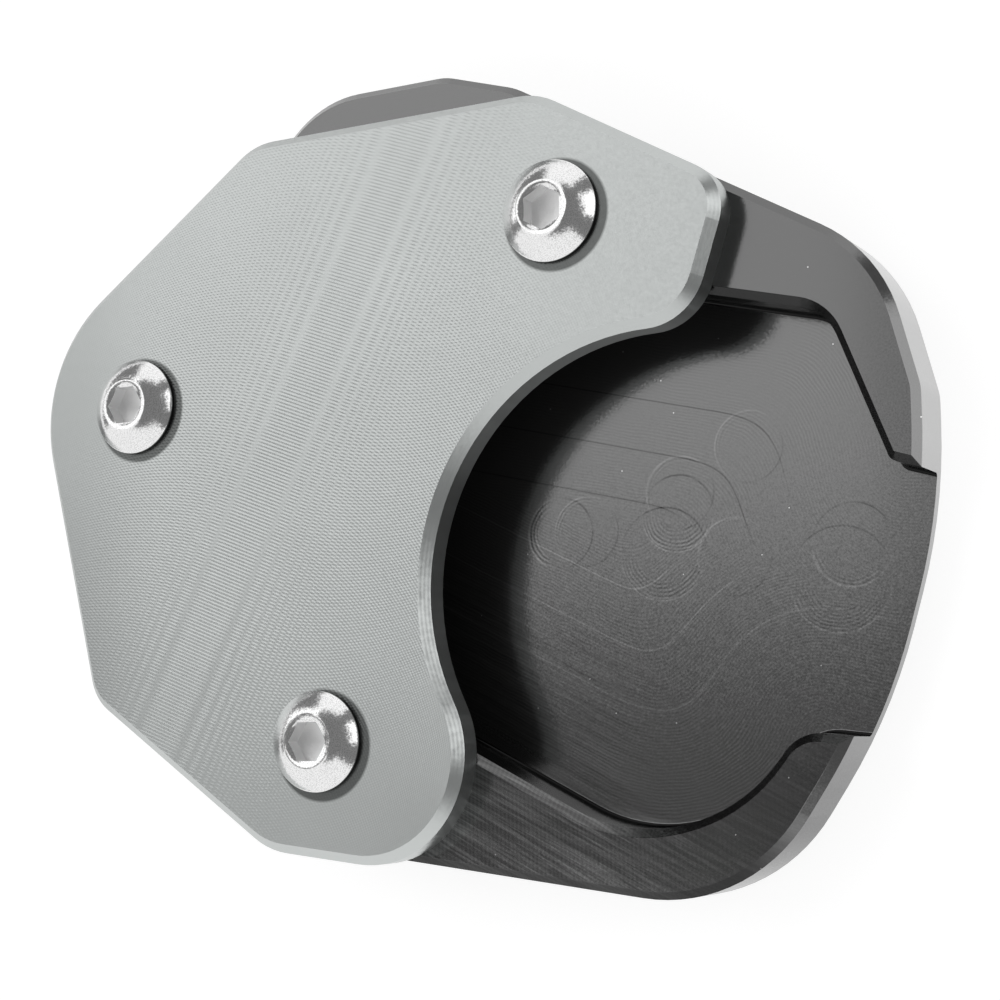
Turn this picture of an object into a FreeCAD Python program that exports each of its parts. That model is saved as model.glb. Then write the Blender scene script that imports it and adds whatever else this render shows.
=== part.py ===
import FreeCAD, Part
import math
import os
import Sketcher

# Kickstand foot enlarger: a milled base plate with a pocket for the stand's foot,
# a clamp plate that lies over the pocket, and three button head screws.
# Millimetres. +Z is up through the clamp plate, the underside of the base lies on Z = 0,
# the open mouth of the pocket faces +X, and the origin is the middle of the footprint.

Vector = FreeCAD.Vector

# Plain sizes, one value each
SIZES = {
    "base_thickness": 10.0,
    "base_rim_chamfer": 0.8,
    "base_under_chamfer": 3.0,
    "pocket_depth": 5.8,
    "pocket_floor_radius": 0.4,
    "clamp_thickness": 3.5,
    "clamp_chamfer": 1.0,
    "thread_diameter": 6.0,
    "tapped_hole_clearance": 0.1,
    "clamp_hole_clearance": 0.6,
    "screw_length": 12.0,
    "screw_tip_chamfer": 0.6,
    "head_diameter": 10.5,
    "head_height": 3.3,
    "head_rim_height": 0.5,
    "head_flat_diameter": 5.4,
    "head_dome_radius": 6.0,
    "socket_width": 4.0,
    "socket_depth": 2.0,
    "socket_drill_diameter": 3.8,
    "socket_drill_depth": 0.8,
}

# Screws: centre in plan and the turn of the hexagon socket in degrees
SCREWS = {
    "screw_left": (-37.5, 10.1, 0.0),
    "screw_top": (14.6, 25.3, 30.0),
    "screw_bottom": (-13.4, -27.3, 0.0),
}

# Outlines, counter-clockwise: where two straight sides would meet, and the radius between them
BASE_CORNERS = {
    "base_bottom": (-20.0, -37.8, 8.0),
    "base_bottom_right": (32.3, -44.2, 18.0),
    "base_mouth_low": (44.9, -25.4, 56.0),
    "base_mouth_high": (50.7, -6.2, 56.0),
    "base_ear": (50.7, 4.7, 5.0),
    "base_shoulder": (47.3, 18.0, 16.0),
    "base_top_right": (8.5, 40.4, 8.0),
    "base_top": (0.2, 43.0, 6.0),
    "base_top_left": (-15.6, 43.0, 12.0),
    "base_left": (-50.2, 9.5, 14.0),
    "base_bottom_left": (-42.5, -21.6, 6.0),
}
POCKET_CORNERS = {
    "pocket_bowl_low": (19.7, -37.2, 17.0),
    "pocket_bowl_right": (32.0, -34.4, 17.0),
    "pocket_low_ear": (37.8, -27.0, 4.3),
    "pocket_mouth_low": (60.3, -29.6, 0.0),
    "pocket_mouth_high": (60.7, -6.1, 0.0),
    "pocket_high_ear": (47.5, -2.0, 1.0),
    "pocket_shoulder": (41.7, 12.9, 5.2),
    "pocket_top_left": (-17.5, 27.5, 12.0),
    "pocket_left": (-29.8, 4.8, 20.0),
    "pocket_bottom_left": (-24.8, -14.5, 12.0),
}
# The clamp plate's first and last sides run into a round notch instead of meeting
CLAMP_CORNERS = {
    "clamp_finger": (30.0, 15.2, 6.5),
    "clamp_right": (33.6, 26.0, 5.0),
    "clamp_top_right": (12.8, 38.2, 8.0),
    "clamp_top_left": (-22.2, 38.2, 7.5),
    "clamp_left": (-52.9, 16.3, 17.0),
    "clamp_bottom_left": (-43.6, -22.2, 5.5),
    "clamp_bottom": (-20.2, -38.6, 9.0),
    "clamp_lobe": (3.2, -41.3, 11.3),
}
CLAMP_NOTCH = {"clamp_notch": (24.6, -12.5, 24.9)}


def fill_sheet(doc):
    """Put every driving size in a sheet cell of the same name."""
    sheet = doc.addObject("Spreadsheet::Sheet", "Sizes")
    cells = dict(SIZES)
    for corners in (BASE_CORNERS, POCKET_CORNERS, CLAMP_CORNERS, CLAMP_NOTCH):
        for name, (x, y, radius) in corners.items():
            cells[name + "_x"] = x
            cells[name + "_y"] = y
            if radius > 0:
                cells[name + "_radius"] = radius
    for name, (x, y, turn) in SCREWS.items():
        cells[name + "_x"] = x
        cells[name + "_y"] = y
        cells[name + "_turn"] = turn
    for row, (name, value) in enumerate(cells.items(), start=1):
        sheet.set("A%d" % row, name)
        sheet.set("B%d" % row, str(value))
        sheet.setAlias("B%d" % row, name)
    doc.recompute()
    return sheet


def new_body(doc, name):
    body = doc.addObject("PartDesign::Body", name)
    body.Label = name
    return body


def new_sketch(body, name, plane="XY_Plane", height=None):
    """A sketch on one of the body's own planes, raised to a height named in the sheet."""
    sketch = body.newObject("Sketcher::SketchObject", name)
    for feature in body.Origin.OriginFeatures:
        if feature.Role == plane:
            sketch.AttachmentSupport = [(feature, "")]
    sketch.MapMode = "FlatFace"
    if height:
        sketch.setExpression("AttachmentOffset.Base.z", height)
    return sketch


def bind(sketch, constraint, name, formula=None):
    """Add a dimension to a sketch and tie it to the sheet."""
    index = sketch.addConstraint(constraint)
    sketch.renameConstraint(index, name)
    sketch.setExpression("Constraints." + name, formula or "Sizes." + name)


def place_point(sketch, geometry, position, name, point):
    """Hold a point of the sketch at the two sheet values of its name."""
    bind(sketch, Sketcher.Constraint("DistanceX", -1, 1, geometry, position, point.x), name + "_x")
    bind(sketch, Sketcher.Constraint("DistanceY", -1, 1, geometry, position, point.y), name + "_y")


def add_arc(sketch, centre, radius, start, end):
    """Add the arc that runs from start to end the short way.

    Returns its index and which of its two ends, 1 or 2, is the start and which is the end."""
    start_angle = math.atan2(start.y - centre.y, start.x - centre.x)
    end_angle = math.atan2(end.y - centre.y, end.x - centre.x)
    sweep = (end_angle - start_angle) % (2 * math.pi)
    circle = Part.Circle(centre, Vector(0, 0, 1), radius)
    if sweep < math.pi:
        return sketch.addGeometry(Part.ArcOfCircle(circle, start_angle, start_angle + sweep)), 1, 2
    return sketch.addGeometry(Part.ArcOfCircle(circle, end_angle, end_angle + 2 * math.pi - sweep)), 2, 1


def round_corner(before, corner, after, radius):
    """Centre of a corner's arc, and where the arc meets the two sides."""
    back = (before - corner).normalize()
    ahead = (after - corner).normalize()
    half_angle = back.getAngle(ahead) / 2
    run = radius / math.tan(half_angle)
    centre = corner + (back + ahead).normalize() * (radius / math.sin(half_angle))
    return centre, corner + back * run, corner + ahead * run


def points_of(corners):
    return [Vector(x, y, 0) for x, y, radius in corners.values()]


def draw_sides(sketch, corners, closed):
    """Draw straight sides with rounded corners, each held to its cells in the sheet.

    An open outline stops at its first and last corner, which other arcs then round."""
    names = list(corners)
    points = points_of(corners)
    count = len(points)
    starts = list(points)
    ends = list(points)
    arcs = {}
    for i, name in enumerate(names):
        radius = corners[name][2]
        inner = closed or 0 < i < count - 1
        if radius > 0 and inner:
            centre, ends[i], starts[i] = round_corner(points[i - 1], points[i], points[(i + 1) % count], radius)
            arcs[i] = (centre, radius)
    sides = {}
    for i in range(count if closed else count - 1):
        sides[i] = sketch.addGeometry(Part.LineSegment(starts[i], ends[(i + 1) % count]))
    for i, name in enumerate(names):
        side_before = sides.get((i - 1) % count if closed else i - 1)
        side_after = sides.get(i)
        if i in arcs:
            centre, radius = arcs[i]
            arc, arc_start, arc_end = add_arc(sketch, centre, radius, ends[i], starts[i])
            sketch.addConstraint(Sketcher.Constraint("Tangent", side_before, 2, arc, arc_start))
            sketch.addConstraint(Sketcher.Constraint("Tangent", arc, arc_end, side_after, 1))
            bind(sketch, Sketcher.Constraint("Radius", arc, radius), name + "_radius")
        elif closed:
            sketch.addConstraint(Sketcher.Constraint("Coincident", side_before, 2, side_after, 1))
            place_point(sketch, side_after, 1, name, points[i])
            continue
        corner = sketch.addGeometry(Part.Point(points[i]), True)
        for side in (side_before, side_after):
            if side is not None:
                sketch.addConstraint(Sketcher.Constraint("PointOnObject", corner, 1, side))
        place_point(sketch, corner, 1, name, points[i])
    return sides


def touching_arc(corner, other, radius, notch_centre, notch_radius, side):
    """Centre of an arc that touches a straight side and the notch from outside.

    side is 1 where the plate lies to the left of the way from corner to other, else -1."""
    ahead = (other - corner).normalize()
    left = Vector(-ahead.y, ahead.x, 0) * side
    offset = corner + left * radius - notch_centre
    along = offset.dot(ahead)
    reach = notch_radius + radius
    travel = -along + math.sqrt(along * along - offset.dot(offset) + reach * reach)
    centre = corner + left * radius + ahead * travel
    on_side = centre - left * radius
    on_notch = notch_centre + (centre - notch_centre) * (notch_radius / reach)
    return centre, on_side, on_notch


def draw_clamp_outline(sketch):
    """The clamp plate's sides, and the notch that its two fingers run into."""
    sides = draw_sides(sketch, CLAMP_CORNERS, closed=False)
    names = list(CLAMP_CORNERS)
    points = points_of(CLAMP_CORNERS)
    x, y, notch_radius = CLAMP_NOTCH["clamp_notch"]
    notch_centre = Vector(x, y, 0)
    finger_radius = CLAMP_CORNERS[names[0]][2]
    lobe_radius = CLAMP_CORNERS[names[-1]][2]
    finger = touching_arc(points[0], points[1], finger_radius, notch_centre, notch_radius, 1)
    lobe = touching_arc(points[-1], points[-2], lobe_radius, notch_centre, notch_radius, -1)
    first_side = sides[0]
    last_side = sides[len(sides) - 1]
    finger_arc, finger_start, finger_end = add_arc(sketch, finger[0], finger_radius, finger[2], finger[1])
    lobe_arc, lobe_start, lobe_end = add_arc(sketch, lobe[0], lobe_radius, lobe[1], lobe[2])
    notch_arc, notch_start, notch_end = add_arc(sketch, notch_centre, notch_radius, finger[2], lobe[2])
    sketch.addConstraint(Sketcher.Constraint("Tangent", finger_arc, finger_end, first_side, 1))
    sketch.addConstraint(Sketcher.Constraint("Tangent", last_side, 2, lobe_arc, lobe_start))
    sketch.addConstraint(Sketcher.Constraint("Tangent", notch_arc, notch_start, finger_arc, finger_start))
    sketch.addConstraint(Sketcher.Constraint("Tangent", lobe_arc, lobe_end, notch_arc, notch_end))
    bind(sketch, Sketcher.Constraint("Radius", finger_arc, finger_radius), names[0] + "_radius")
    bind(sketch, Sketcher.Constraint("Radius", lobe_arc, lobe_radius), names[-1] + "_radius")
    bind(sketch, Sketcher.Constraint("Radius", notch_arc, notch_radius), "clamp_notch_radius")
    place_point(sketch, notch_arc, 3, "clamp_notch", notch_centre)


def pad(body, sketch, name, length):
    feature = body.newObject("PartDesign::Pad", name)
    feature.Profile = sketch
    feature.setExpression("Length", length)
    body.Document.recompute()
    return feature


def pocket(body, sketch, name, depth=None):
    """Cut down from the sketch, to a depth named in the sheet or right through."""
    before = body.Shape.Volume
    feature = body.newObject("PartDesign::Pocket", name)
    feature.Profile = sketch
    if depth:
        feature.setExpression("Length", depth)
    else:
        feature.Type = "ThroughAll"
    body.Document.recompute()
    if body.Shape.Volume >= before:
        raise RuntimeError(name + " cuts nothing")
    return feature


def edges_at(body, height, keep):
    """Names of the body's level edges at a height that keep accepts."""
    found = []
    for number, edge in enumerate(body.Shape.Edges, start=1):
        box = edge.BoundBox
        if box.ZLength < 1e-6 and abs(box.ZMin - height) < 1e-6 and keep(edge):
            found.append("Edge%d" % number)
    return found


def edge_feature(body, kind, name, edges, size, size_name):
    """A chamfer or a fillet on edges of the body's last feature."""
    base = body.Tip
    feature = body.newObject("PartDesign::" + kind, name)
    feature.Base = (base, edges)
    feature.setExpression(size, size_name)
    body.Document.recompute()
    return feature


def bores_sketch(body, name, height, diameter):
    """One circle at each screw, all of one diameter."""
    sketch = new_sketch(body, name, height=height)
    for screw, (x, y, turn) in SCREWS.items():
        centre = Vector(x, y, 0)
        circle = sketch.addGeometry(Part.Circle(centre, Vector(0, 0, 1), SIZES["thread_diameter"] / 2))
        place_point(sketch, circle, 3, screw, centre)
        constraint = Sketcher.Constraint("Diameter", circle, SIZES["thread_diameter"])
        bind(sketch, constraint, screw + "_bore", diameter)
    return sketch


def draw_profile(sketch, corners, arc_after=None):
    """Join corners given as formulas, the side after arc_after being an arc centred on the axis."""
    names = list(corners)
    points = [Vector(*[float(sketch.evalExpression(way)) for way in corners[name]], 0) for name in names]
    sides = []
    for i, name in enumerate(names):
        start = points[i]
        end = points[(i + 1) % len(points)]
        if name == arc_after:
            rise = (start.x ** 2 - end.x ** 2 + start.y ** 2 - end.y ** 2) / (2 * (start.y - end.y))
            centre = Vector(0, rise, 0)
            arc, start_end, end_end = add_arc(sketch, centre, centre.distanceToPoint(start), start, end)
            sketch.addConstraint(Sketcher.Constraint("PointOnObject", arc, 3, -2))
            sides.append((arc, start_end, end_end))
        else:
            sides.append((sketch.addGeometry(Part.LineSegment(start, end)), 1, 2))
    for i, name in enumerate(names):
        geometry, start_end, end_end = sides[i]
        before = sides[i - 1]
        sketch.addConstraint(Sketcher.Constraint("Coincident", before[0], before[2], geometry, start_end))
        across, up = corners[name]
        if across == "0":
            sketch.addConstraint(Sketcher.Constraint("PointOnObject", geometry, start_end, -2))
        else:
            constraint = Sketcher.Constraint("DistanceX", -1, 1, geometry, start_end, points[i].x)
            bind(sketch, constraint, name + "_x", across)
        if up == "0":
            sketch.addConstraint(Sketcher.Constraint("PointOnObject", geometry, start_end, -1))
        else:
            constraint = Sketcher.Constraint("DistanceY", -1, 1, geometry, start_end, points[i].y)
            bind(sketch, constraint, name + "_y", up)


def draw_hexagon(sketch, width):
    """A hexagon on the origin with two corners on the X axis and a width across flats."""
    corner_radius = width / math.sqrt(3)
    corners = []
    for i in range(6):
        angle = math.radians(60 * i)
        corners.append(Vector(math.cos(angle), math.sin(angle), 0) * corner_radius)
    circle = sketch.addGeometry(Part.Circle(Vector(0, 0, 0), Vector(0, 0, 1), corner_radius), True)
    sketch.addConstraint(Sketcher.Constraint("Coincident", circle, 3, -1, 1))
    sides = []
    for i in range(6):
        sides.append(sketch.addGeometry(Part.LineSegment(corners[i], corners[(i + 1) % 6])))
    for i in range(6):
        sketch.addConstraint(Sketcher.Constraint("Coincident", sides[i - 1], 2, sides[i], 1))
        sketch.addConstraint(Sketcher.Constraint("PointOnObject", sides[i], 1, circle))
        if i:
            sketch.addConstraint(Sketcher.Constraint("Equal", sides[0], sides[i]))
    sketch.addConstraint(Sketcher.Constraint("PointOnObject", sides[0], 1, -1))
    bind(sketch, Sketcher.Constraint("Distance", sides[0], 1, sides[3], width), "socket_width")


def make_base_plate(doc):
    body = new_body(doc, "base_plate")
    thickness = SIZES["base_thickness"]
    floor = thickness - SIZES["pocket_depth"]

    outline = new_sketch(body, "base_outline")
    draw_sides(outline, BASE_CORNERS, closed=True)
    pad(body, outline, "base_slab", "Sizes.base_thickness")

    foot = new_sketch(body, "pocket_outline", height="Sizes.base_thickness")
    draw_sides(foot, POCKET_CORNERS, closed=True)
    pocket(body, foot, "foot_pocket", "Sizes.pocket_depth")

    rim = edges_at(body, thickness, lambda edge: True)
    edge_feature(body, "Chamfer", "rim_chamfer", rim, "Size", "Sizes.base_rim_chamfer")

    under = edges_at(body, 0, lambda edge: True)
    edge_feature(body, "Chamfer", "under_chamfer", under, "Size", "Sizes.base_under_chamfer")

    def has_wall(edge):
        middle = edge.valueAt((edge.FirstParameter + edge.LastParameter) / 2)
        return body.Shape.isInside(middle + Vector(0, 0, 1), 0.01, True)

    floor_corner = edges_at(body, floor, has_wall)
    edge_feature(body, "Fillet", "floor_fillet", floor_corner, "Radius", "Sizes.pocket_floor_radius")

    bore = "Sizes.thread_diameter + Sizes.tapped_hole_clearance"
    holes = bores_sketch(body, "tapped_holes_sketch", "Sizes.base_thickness", bore)
    pocket(body, holes, "tapped_holes")
    return body


def make_clamp_plate(doc):
    body = new_body(doc, "clamp_plate")

    outline = new_sketch(body, "clamp_outline")
    draw_clamp_outline(outline)
    pad(body, outline, "clamp_slab", "Sizes.clamp_thickness")

    top = edges_at(body, SIZES["clamp_thickness"], lambda edge: True)
    edge_feature(body, "Chamfer", "top_chamfer", top, "Size", "Sizes.clamp_chamfer")

    bore = "Sizes.thread_diameter + Sizes.clamp_hole_clearance"
    holes = bores_sketch(body, "clearance_holes_sketch", "Sizes.clamp_thickness", bore)
    pocket(body, holes, "clearance_holes")
    body.setExpression("Placement.Base.z", "Sizes.base_thickness")
    return body


def make_screw(doc, name):
    """A button head screw with a hexagon socket. Its seat is on the body's Z = 0."""
    body = new_body(doc, name)

    profile = new_sketch(body, name + "_profile", plane="XZ_Plane")
    draw_profile(
        profile,
        {
            "tip_middle": ("0", "-Sizes.screw_length"),
            "tip_edge": ("Sizes.thread_diameter / 2 - Sizes.screw_tip_chamfer", "-Sizes.screw_length"),
            "tip_side": ("Sizes.thread_diameter / 2", "Sizes.screw_tip_chamfer - Sizes.screw_length"),
            "seat_inside": ("Sizes.thread_diameter / 2", "0"),
            "seat_outside": ("Sizes.head_diameter / 2", "0"),
            "head_rim": ("Sizes.head_diameter / 2", "Sizes.head_rim_height"),
            "head_flat": ("Sizes.head_flat_diameter / 2", "Sizes.head_height"),
            "head_middle": ("0", "Sizes.head_height"),
        },
        arc_after="head_rim",
    )
    turned = body.newObject("PartDesign::Revolution", name + "_turned")
    turned.Profile = profile
    turned.ReferenceAxis = (profile, ["V_Axis"])
    turned.Angle = 360
    doc.recompute()

    socket = new_sketch(body, name + "_socket_sketch", height="Sizes.head_height")
    draw_hexagon(socket, SIZES["socket_width"])
    pocket(body, socket, name + "_socket", "Sizes.socket_depth")

    point = new_sketch(body, name + "_drill_sketch", plane="XZ_Plane")
    floor = "Sizes.head_height - Sizes.socket_depth"
    draw_profile(
        point,
        {
            "drill_point": ("0", floor + " - Sizes.socket_drill_depth"),
            "drill_edge": ("Sizes.socket_drill_diameter / 2", floor),
            "drill_middle": ("0", floor),
        },
    )
    before = body.Shape.Volume
    drilled = body.newObject("PartDesign::Groove", name + "_drill_point")
    drilled.Profile = point
    drilled.ReferenceAxis = (point, ["V_Axis"])
    drilled.Angle = 360
    doc.recompute()
    if body.Shape.Volume >= before:
        raise RuntimeError(name + "_drill_point cuts nothing")

    turn = SCREWS[name][2]
    body.Placement = FreeCAD.Placement(Vector(0, 0, 0), FreeCAD.Rotation(Vector(0, 0, 1), turn))
    body.setExpression("Placement.Base.x", "Sizes." + name + "_x")
    body.setExpression("Placement.Base.y", "Sizes." + name + "_y")
    body.setExpression("Placement.Base.z", "Sizes.base_thickness + Sizes.clamp_thickness")
    return body


def check(doc, parts):
    """Stop if an object of the document failed or a part has no sound shape."""
    for item in doc.Objects:
        if "Invalid" in item.State or "Error" in item.State:
            raise RuntimeError(item.Name + " failed: " + ", ".join(item.State))
    for part in parts:
        if part.Shape.isNull() or not part.Shape.isValid():
            raise RuntimeError(part.Label + " has no valid shape")


doc = FreeCAD.newDocument("kickstand_foot_enlarger")
fill_sheet(doc)

base_plate = make_base_plate(doc)
clamp_plate = make_clamp_plate(doc)
screws = [make_screw(doc, name) for name in SCREWS]
clamp_screws = doc.addObject("Part::Compound", "clamp_screws")
clamp_screws.Label = "clamp_screws"
clamp_screws.Links = screws
doc.recompute()

parts = [base_plate, clamp_plate, clamp_screws]
check(doc, parts)
os.makedirs("parts", exist_ok=True)
for part in parts:
    part.Shape.exportStep("parts/" + part.Label + ".step")
    box = part.Shape.BoundBox
    print(part.Label, len(part.Shape.Solids), "solids", round(part.Shape.Volume, 1), "mm3", box)
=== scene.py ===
import math

import bpy
from mathutils import Matrix, Vector


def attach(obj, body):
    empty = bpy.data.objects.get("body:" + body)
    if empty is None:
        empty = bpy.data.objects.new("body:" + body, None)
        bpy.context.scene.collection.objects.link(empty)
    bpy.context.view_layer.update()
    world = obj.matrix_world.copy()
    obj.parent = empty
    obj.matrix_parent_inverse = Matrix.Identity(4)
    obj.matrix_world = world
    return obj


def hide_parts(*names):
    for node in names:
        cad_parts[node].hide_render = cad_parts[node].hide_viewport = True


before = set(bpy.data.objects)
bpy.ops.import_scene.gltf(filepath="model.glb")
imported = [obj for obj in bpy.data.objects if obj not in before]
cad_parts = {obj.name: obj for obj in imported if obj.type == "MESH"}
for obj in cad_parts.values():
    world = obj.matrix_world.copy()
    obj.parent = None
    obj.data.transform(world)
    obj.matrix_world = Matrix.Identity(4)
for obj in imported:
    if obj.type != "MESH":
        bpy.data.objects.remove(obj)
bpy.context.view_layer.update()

# A kickstand foot enlarger: a black anodised base plate with a milled pocket, a grey anodised
# clamp plate over it, and three bright button head screws. Sizes are in millimetres where they
# aren't multiplied by MM, which brings them to Blender's metres.

MM = 0.001

base_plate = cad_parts["base_plate"]
clamp_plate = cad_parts["clamp_plate"]

# Heights of the part's level faces, and how deep the rim's bevel goes.
POCKET_FLOOR = 4.2
RIM_FACE = 10.0
CLAMP_FACE = 13.5
RIM_BEVEL = 0.8
# How near to a face's height a point counts as on it.
AT_POCKET_FLOOR = 0.004
AT_RIM_FACE = 0.05
AT_CLAMP_FACE = 0.02
# Where each screw stands on the clamp plate, and how far it is turned in degrees.
SCREW_PLACES = ((-37.5, 10.1, 0.0), (14.6, 25.3, 30.0), (-13.4, -27.3, 0.0))


# Camera

CAMERA_TARGET = Vector((8.7, -3.6, 14.0)) * MM
CAMERA_FORWARD = Vector((-0.4690, 0.1235, -0.8745))
CAMERA_RIGHT = Vector((0.8804, -0.0123, -0.4740))
CAMERA_DISTANCE = 205.13 * MM
SENSOR_WIDTH = 36.0
FOCAL_PIXELS = 2050
IMAGE_PIXELS = 1000
# What lies nearer or farther than this, in metres, isn't drawn.
NEAREST_DRAWN = 0.01
FARTHEST_DRAWN = 60


def make_camera():
    """The photograph's camera, which looks down on the plates with the mouth to the lower right."""
    data = bpy.data.cameras.new("camera")
    data.sensor_fit = "HORIZONTAL"
    data.sensor_width = SENSOR_WIDTH
    data.lens = SENSOR_WIDTH * FOCAL_PIXELS / IMAGE_PIXELS
    data.clip_start = NEAREST_DRAWN
    data.clip_end = FARTHEST_DRAWN
    camera = bpy.data.objects.new("camera", data)
    bpy.context.scene.collection.objects.link(camera)
    back = -CAMERA_FORWARD.normalized()
    right = CAMERA_RIGHT.normalized()
    up = back.cross(right).normalized()
    turn = Matrix((right, up, back)).transposed()
    place = CAMERA_TARGET + back * CAMERA_DISTANCE
    camera.matrix_world = Matrix.Translation(place) @ turn.to_4x4()
    bpy.context.scene.camera = camera


# Nodes and materials

def linear(hex_colour):
    """An sRGB hex colour as the linear values that Blender's shaders take."""
    channels = []
    for start in (0, 2, 4):
        value = int(hex_colour[start:start + 2], 16) / 255
        channels.append(value / 12.92 if value <= 0.04045 else ((value + 0.055) / 1.055) ** 2.4)
    return (*channels, 1.0)


def add(tree, kind, settings, inputs):
    """Add one node with its own settings and links.

    An input is a value, a node, or a node with the name of its output. They come by name or
    number, or in order: Map Range takes a value, what it runs from and to, and what that becomes.
    Mix has its share at 0, and what it mixes at 2 and 3, or at 6 and 7 for colours.
    """
    node = tree.nodes.new("ShaderNode" + kind)
    for name, value in settings.items():
        setattr(node, name, value)
    for key, value in inputs.items() if isinstance(inputs, dict) else enumerate(inputs):
        if isinstance(value, bpy.types.Node):
            tree.links.new(value.outputs[0], node.inputs[key])
        elif isinstance(value, tuple) and isinstance(value[0], bpy.types.Node):
            tree.links.new(value[0].outputs[value[1]], node.inputs[key])
        else:
            node.inputs[key].default_value = value
    return node


def new_material(name):
    material = bpy.data.materials.new(name)
    material.use_nodes = True
    material.node_tree.nodes.clear()
    return material


def assign(node, material):
    node.data.materials.clear()
    node.data.materials.append(material)


# Light and floor

# Each soft light is a patch of the surroundings: its brightness above the dim studio, and the
# sides that bound it, each a direction, how far along that direction it begins, and how soft it
# is there.
STUDIO_LEVEL = 0.22
LIGHT_BACK_LEFT = (1.2, (
    ((0.0, 1.0, 0.0), 0.075, 0.07),
    ((-1.0, 0.0, 0.0), 0.25, 0.08),
    ((-0.24, -0.624, 0.743), 0.0, 0.06),
    ((0.0, 0.0, 1.0), 0.10, 0.06),
))
LIGHT_FRONT_LEFT = (0.85, (
    ((0.139, -0.990, 0.0), 0.0, 0.05),
    ((-0.743, -0.669, 0.0), 0.0, 0.08),
    ((0.0, 0.0, -1.0), -0.83, 0.04),
))
LIGHT_BACK = (0.95, (
    ((-0.883, 0.469, 0.0), 0.0, 0.06),
    ((0.927, 0.375, 0.0), 0.0, 0.08),
    ((0.0, 0.0, -1.0), -0.64, 0.06),
))
LIGHT_RIGHT = (1.3, (
    ((0.087, 0.996, 0.0), 0.0, 0.05),
    ((0.616, -0.788, 0.0), 0.0, 0.05),
    ((0.0, 0.0, -1.0), -0.66, 0.06),
))


def make_world():
    """A dim studio with four soft lights round the table."""
    world = bpy.data.worlds.new("studio")
    bpy.context.scene.world = world
    world.use_nodes = True
    tree = world.node_tree
    tree.nodes.clear()
    direction = add(tree, "TexCoord", {}, {})
    total = STUDIO_LEVEL
    for strength, sides in (LIGHT_BACK_LEFT, LIGHT_FRONT_LEFT, LIGHT_BACK, LIGHT_RIGHT):
        light = strength
        for normal, edge, soft in sides:
            along = add(tree, "VectorMath", {"operation": "DOT_PRODUCT"}, {0: direction, 1: normal})
            side = add(tree, "MapRange", {"interpolation_type": "SMOOTHSTEP"},
                       {0: (along, "Value"), 1: edge - soft, 2: edge + soft})
            light = add(tree, "Math", {"operation": "MULTIPLY"}, {0: light, 1: side})
        total = add(tree, "Math", {"operation": "ADD"}, {0: light, 1: total})
    background = add(tree, "Background", {}, {"Color": total, "Strength": 1.0})
    add(tree, "OutputWorld", {}, {"Surface": background})


# The floor's width in metres, and its gap under the part, which keeps the two faces apart.
FLOOR_WIDTH = 40.0
FLOOR_GAP = 0.05
FLOOR_GLOW = 0.82
PAPER_COLOUR = "A0A0A0"
GLOW_COLOUR = "FFFFFF"


def make_floor():
    """A sheet of white paper under the part, which glows for the camera: only shade shows."""
    bpy.ops.mesh.primitive_plane_add(size=FLOOR_WIDTH, location=(0, 0, -FLOOR_GAP * MM))
    floor = bpy.context.active_object
    floor.name = "floor"
    material = new_material("white paper floor")
    tree = material.node_tree
    path = add(tree, "LightPath", {}, {})
    seen = add(tree, "Math", {"operation": "ADD"},
               {0: (path, "Is Camera Ray"), 1: (path, "Is Glossy Ray")})
    seen = add(tree, "Math", {"operation": "ADD", "use_clamp": True},
               {0: seen, 1: (path, "Is Transmission Ray")})
    glow = add(tree, "Math", {"operation": "MULTIPLY"}, {0: seen, 1: FLOOR_GLOW})
    paper = add(tree, "BsdfDiffuse", {}, {"Color": linear(PAPER_COLOUR)})
    white = add(tree, "Emission", {}, {"Color": linear(GLOW_COLOUR), "Strength": glow})
    both = add(tree, "AddShader", {}, {0: paper, 1: white})
    add(tree, "OutputMaterial", {}, {"Surface": both})
    assign(floor, material)


# Patterns, on object coordinates in millimetres

def in_millimetres(tree):
    """The place on the piece, in millimetres from the part's origin."""
    coordinates = add(tree, "TexCoord", {}, {})
    return add(tree, "VectorMath", {"operation": "SCALE"},
               {0: (coordinates, "Object"), "Scale": 1 / MM})


def random_lean(tree, grain, tilt):
    """A small tilt of the surface to any side, from the colour of a noise."""
    level = tuple(-part / 2 for part in tilt)
    return add(tree, "VectorMath", {"operation": "MULTIPLY_ADD"},
               {0: (grain, "Color"), 1: tilt, 2: level})


def leaning_facet(tree, leans):
    """The surface's normal with small tilts added to it, back at length one."""
    geometry = add(tree, "NewGeometry", {}, {})
    facet = (geometry, "Normal")
    for lean in leans:
        facet = add(tree, "VectorMath", {"operation": "ADD"}, {0: facet, 1: lean})
    return add(tree, "VectorMath", {"operation": "NORMALIZE"}, {0: facet})


def ripple(tree, along, pitch, depth):
    """A wave of that pitch and depth, from the distance along it."""
    turn = add(tree, "Math", {"operation": "MULTIPLY"}, {0: along, 1: 2 * math.pi / pitch})
    wave = add(tree, "Math", {"operation": "SINE"}, {0: turn})
    return add(tree, "Math", {"operation": "MULTIPLY"}, {0: wave, 1: depth})


def line_at(tree, value, middle, width):
    """1 on a thin line where the value is near its middle, fading to 0 on both sides."""
    off = add(tree, "Math", {"operation": "SUBTRACT"}, {0: value, 1: middle})
    off = add(tree, "Math", {"operation": "ABSOLUTE"}, {0: off})
    return add(tree, "MapRange", {}, {0: off, 1: 0.0, 2: width, 3: 1.0, 4: 0.0})


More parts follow.
